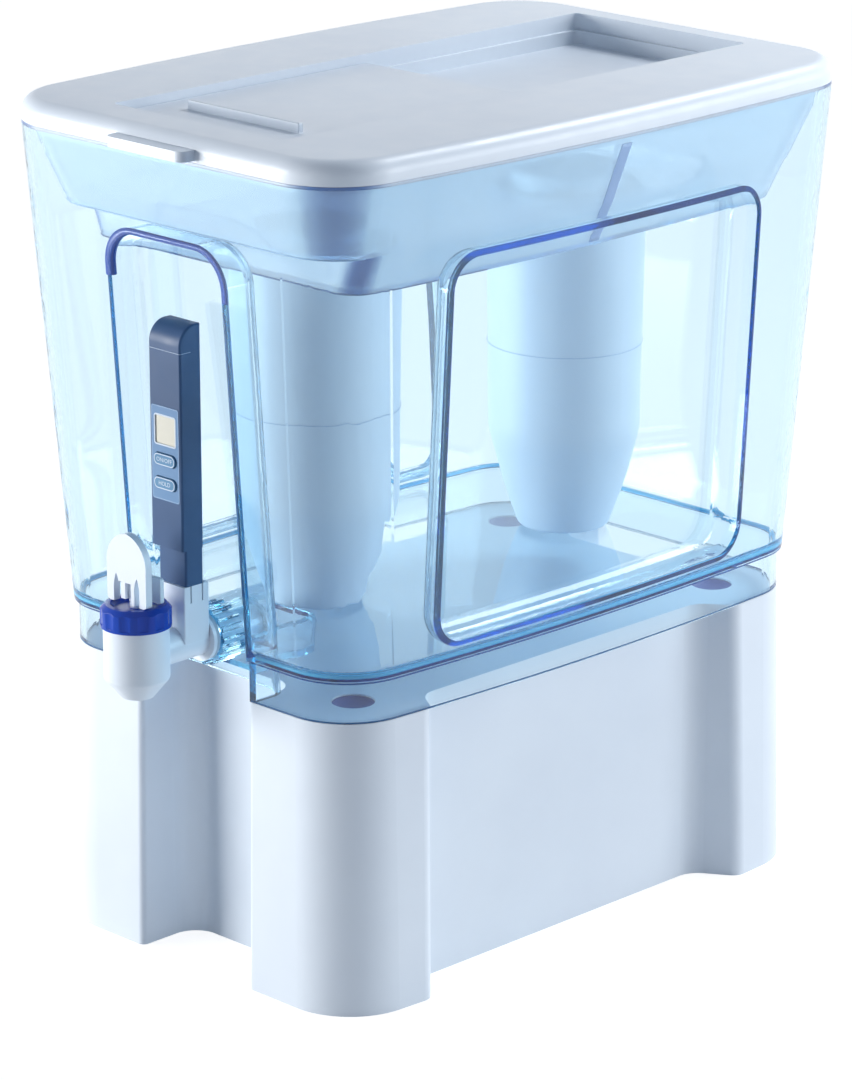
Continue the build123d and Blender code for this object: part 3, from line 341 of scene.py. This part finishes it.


# a piece from its points and faces, with its finish and the body it rides on; slot, the record's slot, is not
# used
def addPiece(name, points, faces, finish, body, slot):
    mesh = bpy.data.meshes.new(name)
    mesh.from_pydata((np.asarray(points) * mm).tolist(), [], faces)
    shape = bmesh.new()
    shape.from_mesh(mesh)
    bmesh.ops.recalc_face_normals(shape, faces=shape.faces)
    shape.to_mesh(mesh)
    shape.free()
    mesh.shade_smooth()
    mesh.materials.append(finish.material)
    piece = bpy.data.objects.new(name, mesh)
    scene.collection.objects.link(piece)
    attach(piece, body)


# point(i, j) = path(i) + radius(i) * (cos(a j) * side(i) + flat * sin(a j) * over(i)), in millimetres, where
# side is square to the path and to up, and over is square to both the path and side
def beadAlong(path, radius, closed=False, up=(0, 0, 1), flat=1.0, sides=10):
    path = np.asarray(path, float)
    if closed:
        along = np.roll(path, -1, 0) - np.roll(path, 1, 0)
    else:
        along = np.gradient(path, axis=0)
    along /= np.linalg.norm(along, axis=1)[:, None]
    side = np.cross(along, np.asarray(up, float))
    side /= np.linalg.norm(side, axis=1)[:, None]
    over = np.cross(side, along)
    angle = np.linspace(0, 2 * np.pi, sides, endpoint=False)[None, :, None]
    thick = np.reshape(radius, (-1, 1, 1))
    grid = path[:, None] + thick * (np.cos(angle) * side[:, None] + flat * np.sin(angle) * over[:, None])
    count = len(path)
    rows = np.arange(count if closed else count - 1)[:, None]
    cols = np.arange(sides)[None, :]
    nextRow, nextCol = (rows + 1) % count, (cols + 1) % sides
    quads = np.stack(
        [rows * sides + cols, rows * sides + nextCol, nextRow * sides + nextCol, nextRow * sides + cols], -1
    ).reshape(-1, 4).tolist()
    if not closed:
        quads += [list(range(sides)), list(range((count - 1) * sides, count * sides))]
    return grid.reshape(-1, 3), quads


# straight sides and quarter-circle corners in a plane, with half sizes halfU and halfV: each corner's points
# are its centre + corner * (cos(turn), sin(turn))
def roundedLoop(halfU, halfV, corner, steps=8):
    turn = np.linspace(0, np.pi / 2, steps)
    arc = np.stack([halfU - corner + corner * np.cos(turn), halfV - corner + corner * np.sin(turn)], 1)
    top = arc[::-1] * (-1, 1)
    return np.concatenate([arc, top, -arc, -top])


# the vessel's outline from above: a straight front, a corner arc tangent to it and to a long arc that swells
# by bow at the middle of the side, so that its radius is (halfLength^2 + bow^2) / (2 * bow); one quarter is
# worked out and mirrored
def bowedLoop(halfWidth, halfLength, corner, bow, height, steps=10, sideSteps=24):
    swell = (halfLength**2 + bow**2) / (2 * bow)
    hub = halfWidth + bow - swell
    centre = hub + math.sqrt((swell - corner) ** 2 - (halfLength - corner) ** 2), -(halfLength - corner)
    last = math.atan2(centre[1], centre[0] - hub)
    turn = np.linspace(-np.pi / 2, last, steps)
    bend = np.stack([centre[0] + corner * np.cos(turn), centre[1] + corner * np.sin(turn)], 1)
    sweep = np.linspace(last, 0, sideSteps)[1:]
    flank = np.stack([hub + swell * np.cos(sweep), swell * np.sin(sweep)], 1)
    quarter = np.concatenate([bend, flank])  # from the front's end to the middle of the right side
    right = np.concatenate([quarter, quarter[-2::-1] * (1, -1)])
    loop = np.concatenate([right, right[::-1] * (-1, 1)])
    return np.column_stack([loop[:, 0], loop[:, 1] + standY, np.full(len(loop), height)])


# the same outline left open across the niche: it starts and ends at x = +-gap on the front
def openedLoop(halfWidth, halfLength, corner, bow, height, gap):
    loop = bowedLoop(halfWidth, halfLength, corner, bow, height)
    ends = np.array([[gap, standY - halfLength, height], [-gap, standY - halfLength, height]])
    return np.concatenate([ends[:1], loop, ends[1:]])


# seen edge-on the clear wall gathers its colour in lines: foot, and the floor plate's edge and ledge; the
# rim's line is painted shadow for the dark gap under the lid's edge; gap is where a line stops beside the
# niche
wallLines = {
    "rim": {"inset": 0.45, "height": 429.3, "radius": 0.42},
    "foot": {"outline": "foot", "inset": 0.30, "height": 154.6, "radius": 0.45, "gap": 42.0, "flat": 1.0},
    "floor": {"outline": "floor", "inset": 0.9, "height": 175.7, "radius": 0.8, "gap": 43.9, "flat": 0.6},
    "ledge": {"outline": "floor", "inset": 3.6, "height": 178.8, "radius": 2.0, "gap": 46.6, "flat": 0.6},
}
lineTints = {
    # rim: painted shadow, dark for the gap under the lid's edge and along the tub's bottom edge
    "rim": mouldedPlastic("rimShade", (96, 116, 152), (80, 100, 138), (0.4, 0.5), specular=0.2),
    "foot": mouldedPlastic("footShade", (62, 108, 152), (48, 92, 138), (0.3, 0.4), specular=0.3),
    "floor": mouldedPlastic("floorShade", (34, 84, 152), (24, 70, 138), (0.2, 0.3), specular=0.3),
    "ledge": mouldedPlastic("ledgeShade", (96, 192, 230), (78, 178, 222), (0.2, 0.3), specular=0.3),
    "niche": mouldedPlastic("nicheShade", (44, 84, 168), (32, 68, 152), (0.12, 0.2)),
    "seam": mouldedPlastic("seamShade", (196, 212, 232), (186, 204, 226), (0.4, 0.5), specular=0.3),
    "crease": mouldedPlastic("creaseShade", (168, 190, 216), (156, 180, 208), (0.3, 0.4), specular=0.3),
    "rib": mouldedPlastic("ribShade", (172, 186, 222), (160, 176, 214), (0.3, 0.42), specular=0.3),
    "print": mouldedPlastic("paleInk", (214, 224, 234), (200, 212, 226), (0.45, 0.6), specular=0.2),
    # socket: painted shade, dark blue for the shadowed inside of the deck's holes
    "socket": mouldedPlastic("socketShade", (70, 88, 160), (56, 72, 144), (0.4, 0.5), specular=0.2),
}


# a bead of painted shadow along the rim's outline, in the gap under the lid's edge, and one along each lower
# outline up to both sides of the niche
def addWallLines():
    rim = wallLines["rim"]
    loop = bowedLoop(*insetBy(vessel["rim"], rim["inset"]), rim["height"])
    addPiece("rimLine", *beadAlong(loop, rim["radius"], True), lineTints["rim"], "reservoir", "clear_pale")
    for kind in ("foot", "floor", "ledge"):
        line = wallLines[kind]
        loop = openedLoop(*insetBy(vessel[line["outline"]], line["inset"]), line["height"], line["gap"])
        bead = beadAlong(loop, line["radius"], flat=line["flat"])
        addPiece(kind + "Line", *bead, lineTints[kind], "tank", "clear_blue")


addWallLines()

tubLines = {
    "low": 367.5, "shelf": 388.6, "bead": 0.4,
    "lowOutline": (94.0, 165.0, 24.0, 8.0), "rimOutline": (117.0, 186.8, 35.0, 9.0),
    "wellOutline": (94.7, 151.2, 16.0, 6.7), "wellHeight": 367.8, "wellInset": 0.6,
    "shelfBack": 148.0, "wellBack": 60.0,  # how far before the middle the lines stop on the sides
    "ribY": 9.0, "ribHalf": 3.8, "ribFlat": 0.04, "ribLow": 369.5, "ribHigh": 423.0, "ribProud": 0.05,
    "ribRows": 20, "ribSides": 14,
}


# the tub's outline at a height: each of its four sizes runs straight from the foot's to the rim's
def tubOutline(height):
    share = (height - tubLines["low"]) / (vessel["rimHeight"] - tubLines["low"])
    return [low + (high - low) * share for low, high in zip(tubLines["lowOutline"], tubLines["rimOutline"])]


# the part of a loop that lies before y = limit, as one open path round the front from side to side
def frontPart(loop, limit):
    start = int(np.argmax(loop[:, 1]))
    loop = np.roll(loop, -start, 0)
    return loop[loop[:, 1] < limit]


# beads along the tub's shelf and along its foot, the foot's one a dark line of painted shade, and an upright
# rib on each side
def addTubLines():
    t = tubLines
    shelf = frontPart(bowedLoop(*tubOutline(t["shelf"]), t["shelf"]), standY - t["shelfBack"])
    addPiece("tubShelfLine", *beadAlong(shelf, t["bead"]), lineTints["crease"], "reservoir", "clear_pale")
    well = frontPart(bowedLoop(*t["wellOutline"], t["wellHeight"]), standY - t["wellBack"])
    # painted shade: a dark line along the tub's bottom edge, in the rim's shadow colour
    addPiece("tubFootLine", *beadAlong(well, t["bead"]), lineTints["rim"], "reservoir", "clear_pale")
    # x = half width + bow, less the well's inset below the shelf
    z = np.linspace(t["ribLow"], t["ribHigh"], t["ribRows"])
    outlines = np.array([tubOutline(height) for height in z])
    x = outlines[:, 0] + outlines[:, 3] - np.where(z < t["shelf"], t["wellInset"], 0.0) + t["ribProud"]
    for side, name in ((-1, "Left"), (1, "Right")):
        path = np.column_stack([side * x, np.full(len(z), standY + t["ribY"]), z])
        rib = beadAlong(path, t["ribHalf"], up=(1, 0, 0), flat=t["ribFlat"], sides=t["ribSides"])
        addPiece("tubRib" + name, *rib, lineTints["rib"], "reservoir", "clear_pale")


addTubLines()

facing = (0, 1, 0)  # out of the front wall
nicheEdge = {
    "half": 41.0, "top": 385.0, "corner": 18.0,
    "crownFoot": 361.0, "crownGrow": 1.2, "crownDepth": 2.9, "crownFlat": 0.8,
    "crownAt": (-38, -22, 41), "crownRadius": (2.7, 1.7, 1.3),  # x, from left to right, and the radius there
    "lineFoot": 180.0, "lineHigh": 356.0, "lineGrow": 0.7, "lineDepth": 0.8, "lineRadius": 0.55,
    "lineRows": 24,
}


# the niche's mouth on the sloping front wall: up one side, a quarter circle, across, a quarter circle and
# down; grow widens it and depth moves it inwards
def nicheMouth(foot, grow, depth, steps=12):
    half, top, corner = nicheEdge["half"] + grow, nicheEdge["top"] + grow, nicheEdge["corner"] + grow
    turn = np.linspace(np.pi, 0, 2 * steps)
    middle = np.where(turn > np.pi / 2, -(half - corner), half - corner)
    x = np.concatenate([np.full(steps, -half), middle + corner * np.cos(turn), np.full(steps, half)])
    rise = np.linspace(foot, top - corner, steps, endpoint=False)
    z = np.concatenate([rise, top - corner + corner * np.sin(turn), rise[::-1]])
    return np.column_stack([x, standY - wallY(z) + depth, z])


# a band over the niche's top, thickest at its left corner, and a thin line up its right side
def addNicheEdges():
    n = nicheEdge
    path = nicheMouth(n["crownFoot"], n["crownGrow"], n["crownDepth"])
    radius = np.interp(path[:, 0], n["crownAt"], n["crownRadius"])
    crown = beadAlong(path, radius, up=facing, flat=n["crownFlat"])
    addPiece("nicheCrown", *crown, lineTints["niche"], "tank", "clear_blue")
    z = np.linspace(n["lineFoot"], n["lineHigh"], n["lineRows"])
    x, y = np.full(len(z), n["half"] + n["lineGrow"]), standY - wallY(z) + n["lineDepth"]
    thin = beadAlong(np.column_stack([x, y, z]), n["lineRadius"], up=facing)
    addPiece("nicheLine", *thin, lineTints["foot"], "tank", "clear_blue")


addNicheEdges()

filterSeams = {
    "places": {"front": standY - 85.0, "rear": standY + 98.0},  # the filters' axes, along y
    "rings": {"Seam": (41.75, 283.0), "Foot": (24.3, 181.8)},  # radius and height
    "bead": 0.18, "steps": 96,
}


# rings about the filters' axes: x = radius * cos(turn), y = the axis + radius * sin(turn)
def addFilterSeams():
    turn = np.linspace(0, 2 * np.pi, filterSeams["steps"], endpoint=False)
    for place, axis in filterSeams["places"].items():
        for kind, (radius, height) in filterSeams["rings"].items():
            x, y = radius * np.cos(turn), axis + radius * np.sin(turn)
            bead = beadAlong(np.column_stack([x, y, np.full(len(turn), height)]), filterSeams["bead"], True)
            addPiece(place + "Filter" + kind, *bead, lineTints["seam"], "filter_" + place, "filter_shell")


addFilterSeams()

deckCups = {
    "x": 76.0, "y": 134.0, "radius": 10.8, "deep": 2.6, "top": 153.2, "thick": 0.8, "rings": 13, "steps": 48,
}


# a shallow cup under each hole of the deck, round about its axis, dark blue as painted shade for the holes'
# dark inside:
# its height at a distance r from the axis is top - deep * (1 - (r / radius)^4)
def addDeckCups():
    rings, n, top, deep = (deckCups[key] for key in ("rings", "steps", "top", "deep"))
    down = (0, 0, deckCups["thick"])
    reach = np.linspace(0, 1, rings + 1)[1:, None]
    turn = np.linspace(0, 2 * np.pi, n, endpoint=False)
    x, y = deckCups["radius"] * reach * np.cos(turn), deckCups["radius"] * reach * np.sin(turn)
    z = top - deep * (1 - reach**4) + 0 * x
    upper = np.stack([x, y, z], -1).reshape(-1, 3)
    centre = np.array([[0, 0, top - deep]])
    shape = np.concatenate([upper, upper - down, centre, centre - down])
    i, j = np.arange(rings - 1)[:, None], np.arange(n)[None, :]
    k = (j + 1) % n
    below, middle = rings * n, 2 * rings * n  # where the underside's points and the two centres start
    skin = np.stack([i * n + j, (i + 1) * n + j, (i + 1) * n + k, i * n + k], -1).reshape(-1, 4)
    rim = (rings - 1) * n
    edge = np.stack([rim + j, rim + k, rim + below + k, rim + below + j], -1)
    faces = skin.tolist() + (skin[:, ::-1] + below).tolist() + edge.reshape(-1, 4).tolist()
    faces += [[middle, int(a), int(b)] for a, b in zip(j[0], k[0])]
    faces += [[middle + 1, int(b) + below, int(a) + below] for a, b in zip(j[0], k[0])]
    for number, (sx, sy) in enumerate(((1, -1), (1, 1), (-1, 1), (-1, -1))):
        points = shape + (sx * deckCups["x"], standY + sy * deckCups["y"], 0)
        addPiece("deckCup" + str(number), points, faces, lineTints["socket"], "stand", "white")


addDeckCups()

meterPrint = {  # each front is how far a face stands before the stand's middle
    "front": 188.62, "corner": 1.2, "flat": 0.5,
    "labelHalf": 9.6, "labelLow": 253.9, "labelHigh": 301.5, "labelLine": 0.176,
    "screenHalf": 7.6, "screenLow": 282.0, "screenHigh": 297.2, "screenLine": 0.484,
    "keyFront": 189.64, "keyHalf": 7.2, "keyTall": 2.6, "keyCorner": 2.4, "keyLine": 0.286,
    "powerHeight": 274.6, "holdHeight": 262.4,
    "letter": 3.1, "letterFront": 189.66, "letterHalf": 0.06, "letterMargin": 1.1,
    "seamHeight": 330.5, "seamHalf": 11.5, "seamFront": 188.5, "seamBack": 7.0, "seamLine": 0.22,
    "seamFlat": 0.7, "seamSteps": 61,
}


# a rounded loop stood upright on a face: x = u, z = the middle height + v
def faceLoop(halfU, low, high, corner, front):
    loop = roundedLoop(halfU, (high - low) / 2, corner)
    return np.column_stack([loop[:, 0], np.full(len(loop), standY - front), (low + high) / 2 + loop[:, 1]])


# short words as raised letters: a text curve made a mesh, centred, narrowed to fit and stood upright on the
# button's face
def addWord(name, words, height, body):
    curve = bpy.data.curves.new(name, "FONT")
    curve.body = words
    curve.size = meterPrint["letter"]
    curve.extrude = meterPrint["letterHalf"]
    curve.align_x = "CENTER"
    curve.resolution_u = 3
    holder = bpy.data.objects.new(name + "Curve", curve)
    mesh = bpy.data.meshes.new_from_object(holder)
    bpy.data.objects.remove(holder)
    points = np.empty(len(mesh.vertices) * 3)
    mesh.vertices.foreach_get("co", points)
    points = points.reshape(-1, 3)
    points[:, 1] -= (points[:, 1].min() + points[:, 1].max()) / 2
    room = 2 * (meterPrint["keyHalf"] - meterPrint["letterMargin"])
    narrow = min(1.0, room / np.ptp(points[:, 0]))
    y = standY - meterPrint["letterFront"] - points[:, 2]
    placed = np.column_stack([points[:, 0] * narrow, y, height + points[:, 1]])
    mesh.vertices.foreach_set("co", (placed * mm).ravel())
    mesh.name = name
    mesh.materials.clear()
    mesh.materials.append(lineTints["print"].material)
    piece = bpy.data.objects.new(name, mesh)
    scene.collection.objects.link(piece)
    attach(piece, body)


# a flattened bead along a loop on the meter's face
def addFrame(name, loop, radius, tint, body, slot):
    bead = beadAlong(loop, radius, True, facing, meterPrint["flat"])
    addPiece(name, *bead, lineTints[tint], body, slot)


# the label's and the screen's frames, the head's seam, and a pill with its word on each button
def addMeterPrint():
    m = meterPrint
    label = faceLoop(m["labelHalf"], m["labelLow"], m["labelHigh"], m["corner"], m["front"])
    addFrame("labelLine", label, m["labelLine"], "seam", "meter", "label_navy")
    screen = faceLoop(m["screenHalf"], m["screenLow"], m["screenHigh"], m["corner"], m["front"])
    addFrame("screenFrame", screen, m["screenLine"], "print", "meter", "label_navy")
    # the seam runs forward on one side, across the front and back on the other
    half, front, back, high = m["seamHalf"], standY - m["seamFront"], m["seamBack"], m["seamHeight"]
    turns = np.array([(-half, front + back, high), (-half, front, high), (half, front, high),
                      (half, front + back, high)])
    share = np.linspace(0, 3, m["seamSteps"])
    seam = np.column_stack([np.interp(share, range(4), turns[:, axis]) for axis in range(3)])
    bead = beadAlong(seam, m["seamLine"], flat=m["seamFlat"])
    addPiece("headSeam", *bead, lineTints["seam"], "meter", "meter_navy")
    for name, words in (("power", "ON/OFF"), ("hold", "HOLD")):
        height = m[name + "Height"]
        low, top = height - m["keyTall"], height + m["keyTall"]
        pill = faceLoop(m["keyHalf"], low, top, m["keyCorner"], m["keyFront"])
        addFrame(name + "Pill", pill, m["keyLine"], "print", name + "_button", "key_navy")
        addWord(name + "Word", words, height, name + "_button")


addMeterPrint()
print("lines, seams, cups and print added")

stage = {  # metres; each lamp has its name, place, size, watts and colour
    "floorHalf": 6.0,
    "paper": (0.80, 0.80, 0.80, 1),
    "paperSeen": (0.36, 0.36, 0.36, 1),
    "glow": (0.82, 1.0),
    "glowReach": (0.4, 4.0),
    "fill": (0.138, 0.172, 0.232, 1),
    "aim": (0, 0, 0.22),
    "lamps": (
        ("leftSoftbox", (-1.42, -1.60, 0.44), (1.2, 0.8), 50.0, (1.0, 0.99, 0.97)),
        ("rightSoftbox", (1.74, 1.38, 0.62), (1.8, 1.1), 33.0, (0.95, 0.98, 1.0)),
        ("topSoftbox", (0.20, 0.90, 1.35), (0.5, 0.5), 10.0, (0.96, 0.98, 1.0)),
    ),
}


# 1 for rays that show a surface as it is, straight on, in gloss or through clear plastic
def seenDirectly(tree):
    path = tree.nodes.new("ShaderNodeLightPath")
    total = path.outputs["Is Camera Ray"]
    for name in ("Is Glossy Ray", "Is Transmission Ray"):
        more = tree.nodes.new("ShaderNodeMath")
        more.operation = "MAXIMUM"
        tree.links.new(total, more.inputs[0])
        tree.links.new(path.outputs[name], more.inputs[1])
        total = more.outputs[0]
    return total


# target gets the shader seen for those rays and the shader unseen for all others
def chooseByRay(tree, unseen, seen, target):
    mixed = tree.nodes.new("ShaderNodeMixShader")
    tree.links.new(seenDirectly(tree), mixed.inputs[0])
    tree.links.new(unseen.outputs[0], mixed.inputs[1])
    tree.links.new(seen.outputs[0], mixed.inputs[2])
    tree.links.new(mixed.outputs[0], target)


# an even fill for lighting, and plain white where the world itself is seen
def makeWorld():
    world = bpy.data.worlds.new("studio")
    scene.world = world
    world.use_nodes = True
    tree = world.node_tree
    tree.nodes.clear()
    out = tree.nodes.new("ShaderNodeOutputWorld")
    dim, bright = tree.nodes.new("ShaderNodeBackground"), tree.nodes.new("ShaderNodeBackground")
    dim.inputs["Color"].default_value = stage["fill"]
    bright.inputs["Color"].default_value = (1, 1, 1, 1)
    chooseByRay(tree, dim, bright, out.inputs["Surface"])


# the paper's own light rises away from the object, so that only the ground near it shows a shadow
def makePaper():
    paper = Finish("floorPaper")
    paper.tree.nodes.remove(paper.skin)
    dull = paper.node("ShaderNodeBsdfDiffuse", in_Color=stage["paper"])
    soft = paper.node("ShaderNodeBsdfDiffuse", in_Color=stage["paperSeen"])
    away = paper.node("ShaderNodeVectorMath", operation="LENGTH")
    paper.wire(paper.place.outputs["Object"], away.inputs[0])
    glow = paper.node("ShaderNodeEmission")
    strength = paper.span(away.outputs["Value"], *stage["glow"], *stage["glowReach"])
    paper.wire(strength, glow.inputs["Strength"])
    lit = paper.node("ShaderNodeAddShader")
    paper.wire(soft.outputs[0], lit.inputs[0])
    paper.wire(glow.outputs[0], lit.inputs[1])
    chooseByRay(paper.tree, dull, lit, paper.out.inputs["Surface"])
    return paper


def makeFloor():
    half = stage["floorHalf"]
    corners = [(-half, -half, 0), (half, -half, 0), (half, half, 0), (-half, half, 0)]
    mesh = bpy.data.meshes.new("floor")
    mesh.from_pydata(corners, [], [(0, 1, 2, 3)])
    mesh.materials.append(makePaper().material)
    floor = bpy.data.objects.new("floor", mesh)
    scene.collection.objects.link(floor)


# soft boxes, each turned so that its -Z axis points at the object's middle
def makeLamps():
    for name, place, size, watts, colour in stage["lamps"]:
        data = bpy.data.lights.new(name, "AREA")
        data.shape = "RECTANGLE"
        data.size, data.size_y = size
        data.energy = watts
        data.color = colour
        lamp = bpy.data.objects.new(name, data)
        lamp.location = place
        lamp.rotation_euler = (Vector(stage["aim"]) - Vector(place)).to_track_quat("-Z", "Y").to_euler()
        scene.collection.objects.link(lamp)


makeWorld()
makeFloor()
makeLamps()
print("stage set")
